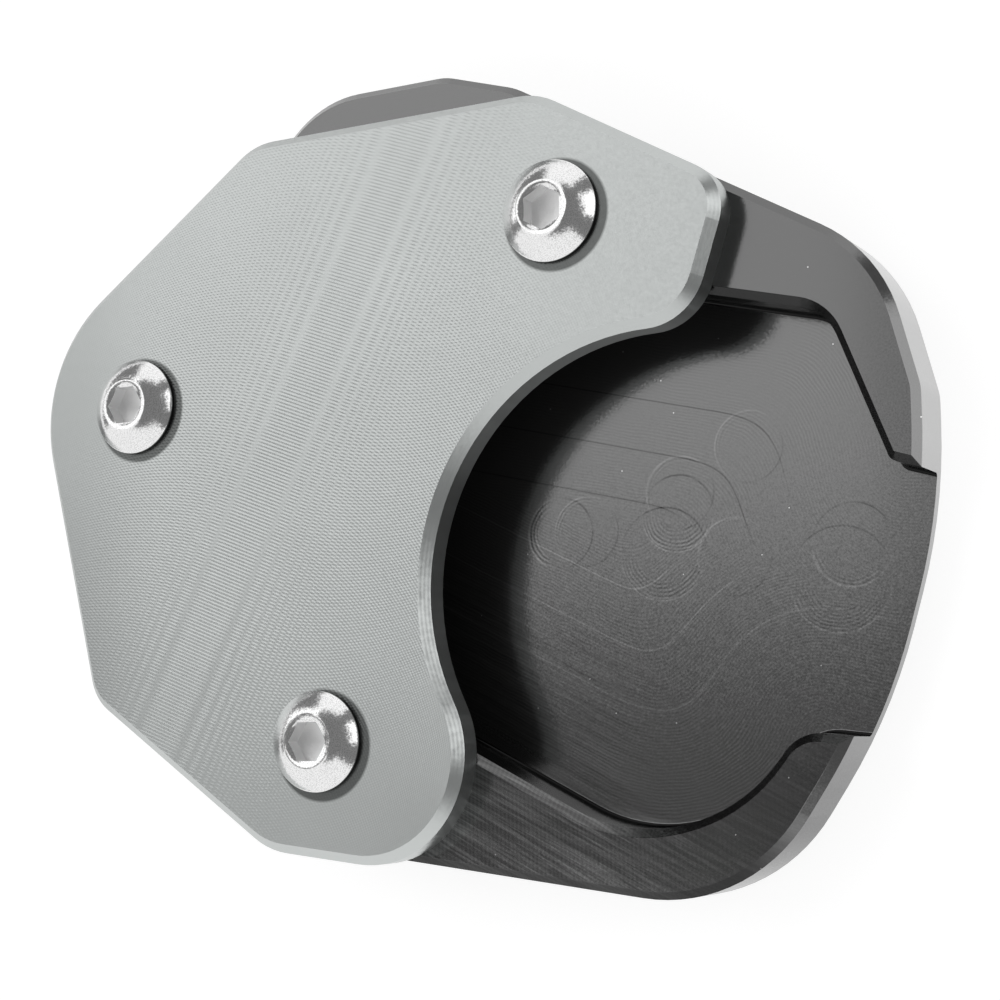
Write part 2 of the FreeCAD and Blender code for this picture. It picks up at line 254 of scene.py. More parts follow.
def distance_to_run(tree, place, start, end):
    """Distance in plan from the straight run between two points."""
    start = Vector((*start, 0))
    run = Vector((*end, 0)) - start
    away = add(tree, "VectorMath", {"operation": "SUBTRACT"}, {0: place, 1: start})
    reach = add(tree, "VectorMath", {"operation": "DOT_PRODUCT"}, {0: away, 1: run})
    share = add(tree, "Math", {"operation": "DIVIDE", "use_clamp": True},
                {0: (reach, "Value"), 1: run.length_squared})
    foot = add(tree, "VectorMath", {"operation": "SCALE"}, {0: run, "Scale": share})
    return (add(tree, "VectorMath", {"operation": "DISTANCE"}, {0: away, 1: foot}), "Value")


# How softly the passes round the corners between two runs of a wall.
CORNER_ROUNDING = 5.5


def distance_to_wall(tree, place, wall):
    """Distance in plan from a wall of straight runs, with the corners between them rounded."""
    nearest = distance_to_run(tree, place, wall[0], wall[1])
    for start, end in zip(wall[1:], wall[2:]):
        run = distance_to_run(tree, place, start, end)
        nearest = add(tree, "Math", {"operation": "SMOOTH_MIN"},
                      {0: nearest, 1: run, 2: CORNER_ROUNDING})
    return nearest


# Grey anodised aluminium, face milled before anodising. The cutter's teeth leave fine arcs on
# the face, once on the way over and once behind, and where the two sets cross they make a weave.
# The bevel and the wall keep the end mill's steps and chatter.

CUTTER_AXIS = (-9.0, 21.7, 0.0)
CUTTER_RADIUS = 40.0
FEED = (0.3587, 0.9334, 0.0)
ACROSS = (0.8881, -0.4596, 0.0)
ARC_PITCH = 0.365
FRONT_ARC_TILT = 0.078
BACK_ARC_TILT = 0.066
# The weave is weaker towards three of the plate's ends: along which axis, how it changes, from
# where to where, and its share at each of the two.
WEAVE_FADES = (
    ("X", "SMOOTHSTEP", 4.0, 22.0, 1.0, 0.15),
    ("X", "SMOOTHSTEP", -48.0, -30.0, 0.3, 1.0),
    ("Y", "LINEAR", -34.0, -16.0, 0.5, 1.0),
)
# Grit of the blasting before the dye, coarser than the real one so that it shows.
GRIT_SIZE = 1 / 3
GRIT_TILT = (0.05, 0.05, 0.05)
STEP_HEIGHT = 0.3
STEP_TILT = 0.05
CHATTER_SIZE = 1 / 1.5
CHATTER_TILT = 0.24
# Up the wall the pattern is squeezed to this share, which draws the chatter marks out.
CHATTER_STRETCH = (1.0, 1.0, 0.06)
CLOUD_SIZE = 1 / 0.08
# The grey is painted lighter towards the lower end and darker at the left edge, as painted light
# and shade: which way the lower end is, and for each, from where to where and how pale at the two.
LOWER_END_WAY = (0.5, -0.8, 0.0)
PAINTED_LIGHT_TO_LOWER_END = (-31.0, 24.0, 1.0, 1.15)
PAINTED_SHADE_AT_LEFT_EDGE = (-48.0, -33.0, 0.84, 1.0)
GREY_COLOURS = ("B2B5B4", "B9BCBB")
GREY_ROUGHNESS = (0.29, 0.35)
# A painted shadow of each head on the face, at one side of it: a disc round a point beside its
# middle, most of which the head covers.
HEAD_SHADOW_SHIFT = (0.55, -0.40)
HEAD_SHADOW_RADIUS = 5.80
HEAD_SHADOW_SOFT = 0.15
HEAD_SHADOW_SHARE = 0.85
PAINTED_HEAD_SHADOW_COLOUR = "4C4E4D"
# Farther than any place on the plate, to start looking for the nearest head from.
FAR_AWAY = 1000.0


def weave_tilt(tree, place, xyz, on_face):
    """The tilt of the two sets of arcs, along the feed."""
    away = add(tree, "VectorMath", {"operation": "SUBTRACT"}, {0: place, 1: CUTTER_AXIS})
    side = add(tree, "VectorMath", {"operation": "DOT_PRODUCT"}, {0: away, 1: ACROSS})
    ahead = add(tree, "VectorMath", {"operation": "DOT_PRODUCT"}, {0: away, 1: FEED})
    square = add(tree, "Math", {"operation": "MULTIPLY"}, {0: (side, "Value"), 1: (side, "Value")})
    rest = add(tree, "Math", {"operation": "SUBTRACT"}, {0: CUTTER_RADIUS ** 2, 1: square})
    rise = add(tree, "Math", {"operation": "SQRT"}, {0: rest})
    front = add(tree, "Math", {"operation": "SUBTRACT"}, {0: (ahead, "Value"), 1: rise})
    back = add(tree, "Math", {"operation": "ADD"}, {0: (ahead, "Value"), 1: rise})
    front_arcs = ripple(tree, front, ARC_PITCH, FRONT_ARC_TILT)
    back_arcs = ripple(tree, back, ARC_PITCH, BACK_ARC_TILT)
    arcs = add(tree, "Math", {"operation": "ADD"}, {0: front_arcs, 1: back_arcs})
    for axis, change, start, end, first, last in WEAVE_FADES:
        fade = add(tree, "MapRange", {"interpolation_type": change},
                   {0: (xyz, axis), 1: start, 2: end, 3: first, 4: last})
        arcs = add(tree, "Math", {"operation": "MULTIPLY"}, {0: arcs, 1: fade})
    arcs = add(tree, "Math", {"operation": "MULTIPLY"}, {0: arcs, 1: on_face})
    return add(tree, "VectorMath", {"operation": "SCALE"}, {0: FEED, "Scale": arcs})


def edge_tilt(tree, place, xyz, on_face):
    """The tilt of the steps up the bevel and the wall, with the chatter across them."""
    steps = ripple(tree, (xyz, "Z"), STEP_HEIGHT, STEP_TILT)
    stretched = add(tree, "VectorMath", {"operation": "MULTIPLY"}, {0: place, 1: CHATTER_STRETCH})
    chatter = add(tree, "TexNoise", {},
                  {"Vector": stretched, "Scale": 1 / CHATTER_SIZE, "Detail": 1.0})
    steps = add(tree, "Math", {"operation": "MULTIPLY_ADD"}, (chatter, CHATTER_TILT, steps))
    off_face = add(tree, "Math", {"operation": "SUBTRACT"}, {0: 1.0, 1: on_face})
    steps = add(tree, "Math", {"operation": "MULTIPLY"}, {0: steps, 1: off_face})
    return add(tree, "VectorMath", {"operation": "SCALE"}, {0: (0.0, 0.0, 1.0), "Scale": steps})


def grey_film_and_painted_shade(tree, place, xyz):
    """The colour of the grey film, a little cloudy, with painted light and shade and a painted
    shadow beside each head.
    """
    cloud = add(tree, "TexNoise", {}, {"Vector": place, "Scale": 1 / CLOUD_SIZE, "Detail": 1.0})
    tint = add(tree, "Mix", {"data_type": "RGBA"},
               {0: cloud, 6: linear(GREY_COLOURS[0]), 7: linear(GREY_COLOURS[1])})
    lower_end = add(tree, "VectorMath", {"operation": "DOT_PRODUCT"}, {0: place, 1: LOWER_END_WAY})
    # Painted light towards the lower end and painted shade at the left edge, scaled into the grey.
    painted_light_and_shade = add(tree, "MapRange", {}, ((lower_end, "Value"), *PAINTED_LIGHT_TO_LOWER_END))
    left_edge = add(tree, "MapRange", {"interpolation_type": "SMOOTHSTEP"},
                    ((xyz, "X"), *PAINTED_SHADE_AT_LEFT_EDGE))
    painted_light_and_shade = add(tree, "Math", {"operation": "MULTIPLY"}, {0: painted_light_and_shade, 1: left_edge})
    tint = add(tree, "VectorMath", {"operation": "SCALE"}, {0: (tint, 2), "Scale": painted_light_and_shade})
    nearest = FAR_AWAY
    for x, y, _ in SCREW_PLACES:
        beside_head = (x + HEAD_SHADOW_SHIFT[0], y + HEAD_SHADOW_SHIFT[1], CLAMP_FACE)
        far = add(tree, "VectorMath", {"operation": "DISTANCE"}, {0: place, 1: beside_head})
        nearest = add(tree, "Math", {"operation": "MINIMUM"}, {0: nearest, 1: (far, "Value")})
    # A painted shadow of each head on the face, at one side of it.
    painted_head_shadow = add(tree, "MapRange", {},
                {0: nearest, 1: HEAD_SHADOW_RADIUS - HEAD_SHADOW_SOFT, 2: HEAD_SHADOW_RADIUS + HEAD_SHADOW_SOFT,
                 3: HEAD_SHADOW_SHARE, 4: 0.0})
    return add(tree, "Mix", {"data_type": "RGBA"}, {0: painted_head_shadow, 6: tint, 7: linear(PAINTED_HEAD_SHADOW_COLOUR)})


def grey_anodised():
    material = new_material("grey anodised aluminium, face milled")
    tree = material.node_tree
    place = in_millimetres(tree)
    xyz = add(tree, "SeparateXYZ", {}, {0: place})
    on_face = add(tree, "Math", {"operation": "GREATER_THAN"},
                  {0: (xyz, "Z"), 1: CLAMP_FACE - AT_CLAMP_FACE})
    grit = add(tree, "TexNoise", {}, {"Vector": place, "Scale": 1 / GRIT_SIZE, "Detail": 1.0})
    arcs = weave_tilt(tree, place, xyz, on_face)
    blasted = random_lean(tree, grit, GRIT_TILT)
    steps = edge_tilt(tree, place, xyz, on_face)
    film = grey_film_and_painted_shade(tree, place, xyz)
    rough = add(tree, "MapRange", {}, {0: grit, 3: GREY_ROUGHNESS[0], 4: GREY_ROUGHNESS[1]})
    shader = add(tree, "BsdfPrincipled", {},
                 {"Base Color": (film, 2), "Metallic": 1.0, "Roughness": rough,
                  "Normal": leaning_facet(tree, (arcs, blasted, steps))})
    add(tree, "OutputMaterial", {}, {"Surface": shader})
    return material


# Black anodised aluminium. The pocket was cleared with a small end mill, in passes that follow
# its walls and in loops where the cutter turned, and then dyed and sealed, so its facets are
# smooth and dark and mirror the room a little off the level. The marks show as lighter and
# darker lines in the dye.

LOWER_WALL = ((-24.8, -14.5), (19.7, -37.2), (32.0, -34.4), (37.8, -27.0), (50.0, -28.4))
UPPER_WALL = ((60.7, -6.1), (47.5, -2.0), (41.7, 12.9), (-17.5, 27.5))
# How far from the wall the first ridge between two passes is, and the next ones from it.
FIRST_PASS = 10.9
PASS_STEP = 5.2
RIDGE_WIDTH = 0.11
# Ridges are lighter than the dye at the lower wall, and darker at the upper one.
RIDGE_DEPTH = 0.75
# The ridges come in over this distance from the wall, and over this difference between the
# distances from the two walls. The darker ones end over this stretch along X.
RIDGE_START = (7.5, 8.5)
RIDGE_CLEAR = (2.0, 5.0)
DARK_RIDGE_END = (33.0, 36.0, -RIDGE_DEPTH, 0.0)
# The fine comb between the ridges is coarser than the real one, so that it shows. It is strongest
# at the lower wall and in patches.
COMB_PITCH = 0.32
COMB_DEPTH = 0.24
COMB_LEAST = 0.12
COMB_MORE = 0.40
PATCH_SIZE = 1 / 0.22
PATCH_EDGE = (0.38, 0.66)
# The cutter wandered a little, in waves of this size, which moves the comb and the rings.
WANDER_SIZE = 1 / 0.4
COMB_WANDER = 0.45
RING_WANDER = 0.5
# Loops: middle, radii of the innermost and the widest ring, how deep the rings are, and the side
# on which they show.
LOOPS = (
    ((10.5, -6.2), 2.6, 3.7, 0.65, (-1.0, -0.1)),
    ((13.5, -6.2), 2.9, 3.6, 0.40, (-0.6, 0.5)),
    ((24.0, -2.9), 3.1, 3.7, 0.30, (-0.6, 0.8)),
    ((23.7, -5.0), 1.4, 3.9, 0.60, (-0.1, -1.0)),
    ((22.1, -9.0), 2.8, 4.7, 0.60, (-0.1, -1.0)),
    ((41.9, -9.2), 3.3, 4.1, 0.40, (-0.2, -1.0)),
    ((40.6, -12.5), 2.6, 5.2, 0.32, (-0.1, -1.0)),
    ((31.5, 1.2), 2.9, 3.6, 0.12, (-0.8, 0.6)),
    ((29.7, -9.7), 3.5, 3.9, 0.20, (-0.5, 0.9)),
)
RING_PITCH = 0.38
# The rings come in over this distance towards their side, and over this one on both sides of
# the innermost.
RING_FADE = 3.0
INNER_RING_FADE = 0.3
# The loops are broken in patches: from which to which value of the pattern, and how much of the
# marks is left at the two.
BREAK_SIZE = 1 / 0.45
BREAK_SHARES = (0.38, 0.55, 0.35, 1.0)
# A loop's outline is painted lighter on the side where its rings show and darker on the other, as
# painted light and shade on a relief.
OUTLINE_WIDTH = 0.15
OUTLINE_PAINTED_SHADE = 0.3
OUTLINE_PAINTED_LIGHT = 0.45
# Long strokes run along this line, over the lower part of the pocket and over the lower rim.
STROKE_LINE = ((-60.0, 3.5), (60.0, -57.7))
STROKE_WIDTH = 1 / 2.4
# The pattern is squeezed to this share along X, which draws the strokes out.
STROKE_STRETCH = 0.04
# In the pocket: from which to which value of the pattern, and how dark and light at the two. Then
# how the strokes fade with the distance from the lower wall, and along X.
STROKE_DEPTHS = (0.38, 0.62, -0.24, 0.24)
STROKES_NEAR_WALL = (14.0, 18.0, 1.0, 0.0)
STROKES_LEFT_END = (14.0, 24.0, 1.0, 0.1)
# The same on the rim, where they come in along Y, and a hatch crosses them.
RIM_STROKE_DEPTHS = (0.42, 0.75, 0.0, 3.0)
RIM_STROKES_LOW_SIDE = (-18.0, -26.0)
RIM_STROKES_RIGHT_END = (14.0, 34.0, 1.0, 0.25)
HATCH_PITCH = 0.45
HATCH_DEPTH = 0.22
# The outer wall is painted light, a painted reflection of bright surroundings: how it comes in
# with the facing and along X, its share along Y, and its share along Y on the bevel.
PAINTED_REFLECTION_FACING = (0.15, 0.95)
PAINTED_REFLECTION_RIGHT_END = (30.0, 34.0)
PAINTED_REFLECTION_UPPER_HALF = (-20.0, 0.0, 0.5, 1.0)
PAINTED_REFLECTION_ON_BEVEL = (-20.0, -10.0, 0.85, 0.25)
BEVEL_SOFT = 0.05
# The darkest painted shade: how it comes in on the walls that face the lower edge, and how high it
# climbs from the corner between the pocket's floor and its wall.
PAINTED_SHADE_LOWER_EDGE = (-0.35, -0.65, 0.0, 0.8)
CORNER_HEIGHT = 0.7
CORNER_STRENGTH = 2.0
# It keeps to this distance from the wall, and off the faces that look to the mouth's end.
CORNER_REACH = 3.0
OUTER_FACING = 0.5
# The rim's painted shade: along Y, beside the clamp plate along X and below a Y, towards the back
# along Y, and on the bevel that faces the pocket, below another Y.
RIM_SHADE_LOW_SIDE = (-10.0, -26.0, 0.15, 0.36)
RIM_SHADE_BESIDE_CLAMP = (-2.0, 8.0, 0.65, 0.0)
BESIDE_CLAMP_BELOW = -26.0
RIM_SHADE_TO_BACK = (28.0, 36.0, 1.0, 0.0)
RIM_SHADE_INNER_BEVEL = (0.35, 0.6, 0.0, 0.55)
INNER_BEVEL_BELOW = -12.0
# Grain of the dyed film, coarser than the real one so that it shows.
GRAIN_SIZE = 1 / 5.5
GRAIN_TILT = (0.07, 0.07, 0.07)
# How far the facets on the level faces lean, and where along X that ends.
FACET_LEAN = (-0.105, 0.0, 0.0)
FACET_LEAN_END = (32.0, 48.0, 1.0, 0.0)
# Specks of dust: about how far apart they are, and how wide as a share of that.
DUST_SPACING = 1 / 0.09
DUST_SIZE = 0.006
BLACK_COLOURS = ("6C6C6C", "747474")
MARK_COLOUR = "8C8C8C"
# The colour of the painted shade on the rim, the walls at the lower edge and the pocket's corner.
PAINTED_SHADE_COLOUR = "1C1C1C"
# The colour of the outer wall's painted reflection.
PAINTED_REFLECTION_COLOUR = "B8B8B8"
DUST_COLOUR = "D0D0D0"
BLACK_METALLIC = 0.92
BLACK_ROUGHNESS = (0.14, 0.19)


def pass_marks(tree, plan, xyz, lower, upper, nearest, wander):
    """The ridges between the passes along the walls, and the cutter's fine comb."""
    step = add(tree, "Math", {"operation": "ADD"}, {0: nearest, 1: PASS_STEP / 2 - FIRST_PASS})
    step = add(tree, "Math", {"operation": "WRAP"}, {0: step, 1: PASS_STEP, 2: 0.0})
    ridges = line_at(tree, step, PASS_STEP / 2, RIDGE_WIDTH)
    below = add(tree, "Math", {"operation": "LESS_THAN"}, {0: lower, 1: upper})
    dark = add(tree, "MapRange", {}, ((xyz, "X"), *DARK_RIDGE_END))
    shade = add(tree, "Mix", {}, {0: below, 2: dark, 3: RIDGE_DEPTH})
    inside = add(tree, "MapRange", {}, (nearest, *RIDGE_START))
    apart = add(tree, "Math", {"operation": "SUBTRACT"}, {0: lower, 1: upper})
    apart = add(tree, "Math", {"operation": "ABSOLUTE"}, {0: apart})
    clear = add(tree, "MapRange", {}, (apart, *RIDGE_CLEAR))
    for share in (shade, inside, clear):
        ridges = add(tree, "Math", {"operation": "MULTIPLY"}, {0: ridges, 1: share})

    uneven = add(tree, "Math", {"operation": "MULTIPLY_ADD"}, (wander, COMB_WANDER, nearest))
    comb = ripple(tree, uneven, COMB_PITCH, COMB_DEPTH)
    patches = add(tree, "TexNoise", {}, {"Vector": plan, "Scale": 1 / PATCH_SIZE, "Detail": 1.0})
    patches = add(tree, "MapRange", {}, (patches, *PATCH_EDGE))
    share = add(tree, "Math", {"operation": "ADD"}, {0: patches, 1: below})
    share = add(tree, "Math", {"operation": "MULTIPLY_ADD"}, (share, COMB_MORE, COMB_LEAST))
    return add(tree, "Math", {"operation": "MULTIPLY_ADD"}, {0: comb, 1: share, 2: ridges})


def scored_marks(tree, xyz, strokes, lower):
    """The long strokes over the lower part of the pocket, most of all at its hidden end."""
    scored = add(tree, "MapRange", {"clamp": False}, (strokes, *STROKE_DEPTHS))
    near_wall = add(tree, "MapRange", {}, (lower, *STROKES_NEAR_WALL))
    left_end = add(tree, "MapRange", {}, ((xyz, "X"), *STROKES_LEFT_END))
    scored = add(tree, "Math", {"operation": "MULTIPLY"}, {0: scored, 1: near_wall})
    return add(tree, "Math", {"operation": "MULTIPLY"}, {0: scored, 1: left_end})


def loop_marks(tree, plan, wander, marks):
    """The marks so far with the rings and outlines of the loops, which are broken in places."""
    broken = add(tree, "TexNoise", {}, {"Vector": plan, "Scale": 1 / BREAK_SIZE, "Detail": 2.0})
    broken = add(tree, "MapRange", {}, (broken, *BREAK_SHARES))
    for middle, inner, radius, depth, toward in LOOPS:
        away = add(tree, "VectorMath", {"operation": "SUBTRACT"}, {0: plan, 1: (*middle, 0.0)})
        far = (add(tree, "VectorMath", {"operation": "LENGTH"}, {0: away}), "Value")
        turned = add(tree, "VectorMath", {"operation": "DOT_PRODUCT"}, {0: away, 1: (*toward, 0.0)})
        turned = (turned, "Value")
        share = add(tree, "MapRange", {"interpolation_type": "SMOOTHSTEP"},
                    {0: turned, 1: 0.0, 2: RING_FADE, 3: 0.0, 4: depth})
        outside = add(tree, "MapRange", {}, (far, inner - INNER_RING_FADE, inner + INNER_RING_FADE))
        inside = add(tree, "Math", {"operation": "LESS_THAN"}, {0: far, 1: radius})
        uneven = add(tree, "Math", {"operation": "MULTIPLY_ADD"}, (wander, RING_WANDER, far))
        rings = ripple(tree, uneven, RING_PITCH, 1.0)
        for part in (outside, inside, broken):
            rings = add(tree, "Math", {"operation": "MULTIPLY"}, {0: rings, 1: part})
        marks = add(tree, "Math", {"operation": "MULTIPLY_ADD"}, {0: rings, 1: share, 2: marks})
        # Painted light on one side of the outline and painted shade on the other.
        painted_relief_side = add(tree, "MapRange", {},
                    (turned, -radius, radius, -OUTLINE_PAINTED_SHADE - depth, OUTLINE_PAINTED_LIGHT + depth))
        outline = line_at(tree, far, radius, OUTLINE_WIDTH)
        outline = add(tree, "Math", {"operation": "MULTIPLY"}, {0: outline, 1: broken})
        marks = add(tree, "Math", {"operation": "MULTIPLY_ADD"}, {0: outline, 1: painted_relief_side, 2: marks})
    return marks


def rim_marks(tree, xyz, strokes, near_top):
    """The same long strokes on the lower rim, crossed by a fine hatch, weaker to the right."""
    marks = add(tree, "MapRange", {}, (strokes, *RIM_STROKE_DEPTHS))
    hatch = ripple(tree, (xyz, "X"), HATCH_PITCH, HATCH_DEPTH)
    marks = add(tree, "Math", {"operation": "ADD"}, {0: marks, 1: hatch})
    low_side = add(tree, "MapRange", {}, ((xyz, "Y"), *RIM_STROKES_LOW_SIDE))
    right_end = add(tree, "MapRange", {"interpolation_type": "SMOOTHSTEP"},
                    ((xyz, "X"), *RIM_STROKES_RIGHT_END))
    for share in (low_side, near_top, right_end):
        marks = add(tree, "Math", {"operation": "MULTIPLY"}, {0: marks, 1: share})
    return marks


def painted_wall_reflection(tree, xyz, facing):
    """How strongly the outer wall is painted light, a painted reflection most at the mouth's end
    and less on the bevel.
    """
    bright = add(tree, "MapRange", {"interpolation_type": "SMOOTHSTEP"},
                 ((facing, "X"), *PAINTED_REFLECTION_FACING))
    right_end = add(tree, "MapRange", {}, ((xyz, "X"), *PAINTED_REFLECTION_RIGHT_END))
    upper_half = add(tree, "MapRange", {}, ((xyz, "Y"), *PAINTED_REFLECTION_UPPER_HALF))
    on_bevel = add(tree, "MapRange", {}, ((xyz, "Y"), *PAINTED_REFLECTION_ON_BEVEL))
    bevel_edge = RIM_FACE - RIM_BEVEL
    below_bevel = add(tree, "MapRange", {},
                      ((xyz, "Z"), bevel_edge - BEVEL_SOFT, bevel_edge + BEVEL_SOFT, 1.0, on_bevel))
    for share in (right_end, upper_half, below_bevel):
        bright = add(tree, "Math", {"operation": "MULTIPLY"}, {0: bright, 1: share})
    return bright


def painted_deep_shade(tree, xyz, facing, nearest, on_floor):
    """Where shade is painted darkest: the wall at the lower edge, and the corner of pocket and
    wall.
    """
    lower_edge = add(tree, "MapRange", {"interpolation_type": "SMOOTHSTEP"},
                     ((facing, "Y"), *PAINTED_SHADE_LOWER_EDGE))
    corner = line_at(tree, (xyz, "Z"), POCKET_FLOOR, CORNER_HEIGHT)
    corner = add(tree, "Math", {"operation": "MULTIPLY", "use_clamp": True},
                 (corner, CORNER_STRENGTH))
    corner = add(tree, "Math", {"operation": "SUBTRACT", "use_clamp": True}, (corner, on_floor))
    at_wall = add(tree, "Math", {"operation": "LESS_THAN"}, (nearest, CORNER_REACH))
    not_outer = add(tree, "Math", {"operation": "LESS_THAN"}, ((facing, "X"), OUTER_FACING))
    for share in (at_wall, not_outer):
        corner = add(tree, "Math", {"operation": "MULTIPLY"}, {0: corner, 1: share})
    return add(tree, "Math", {"operation": "MAXIMUM"}, {0: lower_edge, 1: corner})


def rim_painted_shade(tree, xyz, facing, near_top):
    """The rim's painted shade, darkest low down, beside the clamp plate and on the inner bevel."""
    low_side = add(tree, "MapRange", {}, ((xyz, "Y"), *RIM_SHADE_LOW_SIDE))
    beside_clamp = add(tree, "MapRange", {}, ((xyz, "X"), *RIM_SHADE_BESIDE_CLAMP))
    low = add(tree, "Math", {"operation": "LESS_THAN"}, ((xyz, "Y"), BESIDE_CLAMP_BELOW))
    beside_clamp = add(tree, "Math", {"operation": "MULTIPLY"}, {0: beside_clamp, 1: low})
    film = add(tree, "Math", {"operation": "MAXIMUM"}, {0: low_side, 1: beside_clamp})
    not_back = add(tree, "MapRange", {}, ((xyz, "Y"), *RIM_SHADE_TO_BACK))
    for share in (near_top, not_back):
        film = add(tree, "Math", {"operation": "MULTIPLY"}, {0: film, 1: share})
    inner_bevel = add(tree, "MapRange", {}, ((facing, "Y"), *RIM_SHADE_INNER_BEVEL))
    lower_half = add(tree, "Math", {"operation": "LESS_THAN"}, ((xyz, "Y"), INNER_BEVEL_BELOW))
    inner_bevel = add(tree, "Math", {"operation": "MULTIPLY"}, {0: inner_bevel, 1: lower_half})
    return add(tree, "Math", {"operation": "MAXIMUM"}, {0: film, 1: inner_bevel})


def black_anodised():
    material = new_material("black anodised aluminium, milled")
    tree = material.node_tree
    geometry = add(tree, "NewGeometry", {}, {})
    facing = add(tree, "SeparateXYZ", {}, {0: (geometry, "Normal")})
    place = in_millimetres(tree)
    plan = add(tree, "VectorMath", {"operation": "MULTIPLY"}, {0: place, 1: (1.0, 1.0, 0.0)})
    xyz = add(tree, "SeparateXYZ", {}, {0: place})
    on_floor = add(tree, "Math", {"operation": "COMPARE"},
                   ((xyz, "Z"), POCKET_FLOOR, AT_POCKET_FLOOR))
    on_rim = add(tree, "Math", {"operation": "GREATER_THAN"}, ((xyz, "Z"), RIM_FACE - AT_RIM_FACE))
    near_top = add(tree, "Math", {"operation": "GREATER_THAN"},
                   ((xyz, "Z"), RIM_FACE - RIM_BEVEL - AT_RIM_FACE))
    lower = distance_to_wall(tree, plan, LOWER_WALL)
    upper = distance_to_wall(tree, plan, UPPER_WALL)
    nearest = add(tree, "Math", {"operation": "MINIMUM"}, {0: lower, 1: upper})
    wander = add(tree, "TexNoise", {}, {"Vector": plan, "Scale": 1 / WANDER_SIZE, "Detail": 1.0})
    from_line = distance_to_run(tree, plan, *STROKE_LINE)
    along_line = add(tree, "Math", {"operation": "MULTIPLY"}, {0: (xyz, "X"), 1: STROKE_STRETCH})
    stroke_place = add(tree, "CombineXYZ", {}, {0: from_line, 1: along_line})
    strokes = add(tree, "TexNoise", {},
                  {"Vector": stroke_place, "Scale": 1 / STROKE_WIDTH,
                   "Detail": 3.0, "Roughness": 0.7})

    marks = pass_marks(tree, plan, xyz, lower, upper, nearest, wander)
    scored = scored_marks(tree, xyz, strokes, lower)
    marks = add(tree, "Math", {"operation": "ADD"}, {0: marks, 1: scored})
    marks = loop_marks(tree, plan, wander, marks)
    on_rim_marks = rim_marks(tree, xyz, strokes, near_top)
    marks = add(tree, "Math", {"operation": "MULTIPLY_ADD"}, (marks, on_floor, on_rim_marks))

    grain = add(tree, "TexNoise", {}, {"Vector": place, "Scale": 1 / GRAIN_SIZE, "Detail": 1.0})
    film = random_lean(tree, grain, GRAIN_TILT)
    level = add(tree, "Math", {"operation": "ADD"}, {0: on_floor, 1: on_rim})
    right_end = add(tree, "MapRange", {"interpolation_type": "SMOOTHSTEP"},
                    ((xyz, "X"), *FACET_LEAN_END))
    level = add(tree, "Math", {"operation": "MULTIPLY"}, {0: level, 1: right_end})
    facets = add(tree, "VectorMath", {"operation": "SCALE"}, {0: FACET_LEAN, "Scale": level})

    # Painted shade on the rim, with the clamp plate's painted shadow beside it.
    rim = rim_painted_shade(tree, xyz, facing, near_top)
    # Painted reflection on the outer wall.
    bright = painted_wall_reflection(tree, xyz, facing)
    # Painted shade on the walls at the lower edge and in the pocket's corner.
    deep = painted_deep_shade(tree, xyz, facing, nearest, on_floor)
    dust = add(tree, "TexVoronoi", {"voronoi_dimensions": "2D"},
               {"Vector": plan, "Scale": 1 / DUST_SPACING, "Randomness": 1.0})
    dust = add(tree, "Math", {"operation": "LESS_THAN"}, {0: (dust, "Distance"), 1: DUST_SIZE})
    tint = add(tree, "Mix", {"data_type": "RGBA"},
               {0: grain, 6: linear(BLACK_COLOURS[0]), 7: linear(BLACK_COLOURS[1])})
    tint = add(tree, "Mix", {"data_type": "RGBA", "clamp_factor": False},
               {0: marks, 6: (tint, 2), 7: linear(MARK_COLOUR)})
    for share, colour in ((rim, PAINTED_SHADE_COLOUR), (bright, PAINTED_REFLECTION_COLOUR), (dust, DUST_COLOUR),
                          (deep, PAINTED_SHADE_COLOUR)):
        tint = add(tree, "Mix", {"data_type": "RGBA"}, {0: share, 6: (tint, 2), 7: linear(colour)})
    rough = add(tree, "MapRange", {}, {0: grain, 3: BLACK_ROUGHNESS[0], 4: BLACK_ROUGHNESS[1]})
    shader = add(tree, "BsdfPrincipled", {},
                 {"Base Color": (tint, 2), "Metallic": BLACK_METALLIC, "Roughness": rough,
                  "Normal": leaning_facet(tree, (film, facets))})
    add(tree, "OutputMaterial", {}, {"Surface": shader})
    return material


# Bright stainless steel, cold headed and tumbled: a smooth mirror with a slight orange peel and
# fine pits. The rim under the dome is painted dark, a painted shade for its dark reflection.

PEEL_SIZE = 1 / 4.5
PEEL_TILT = (0.22, 0.22, 0.22)
PIT_SIZE = 1 / 9
PIT_EDGE = (0.45, 0.62)
STEEL_COLOUR = "E8E8E8"
PIT_COLOUR = "D2D2D2"
# The colour of the painted shade on the rim under the dome.
PAINTED_SHADE_RIM_COLOUR = "5A5A5A"
STEEL_ROUGHNESS = (0.10, 0.20)
# Heights over the seat between which the rim turns into the dome.
RIM_TO_DOME = (0.30, 0.42)


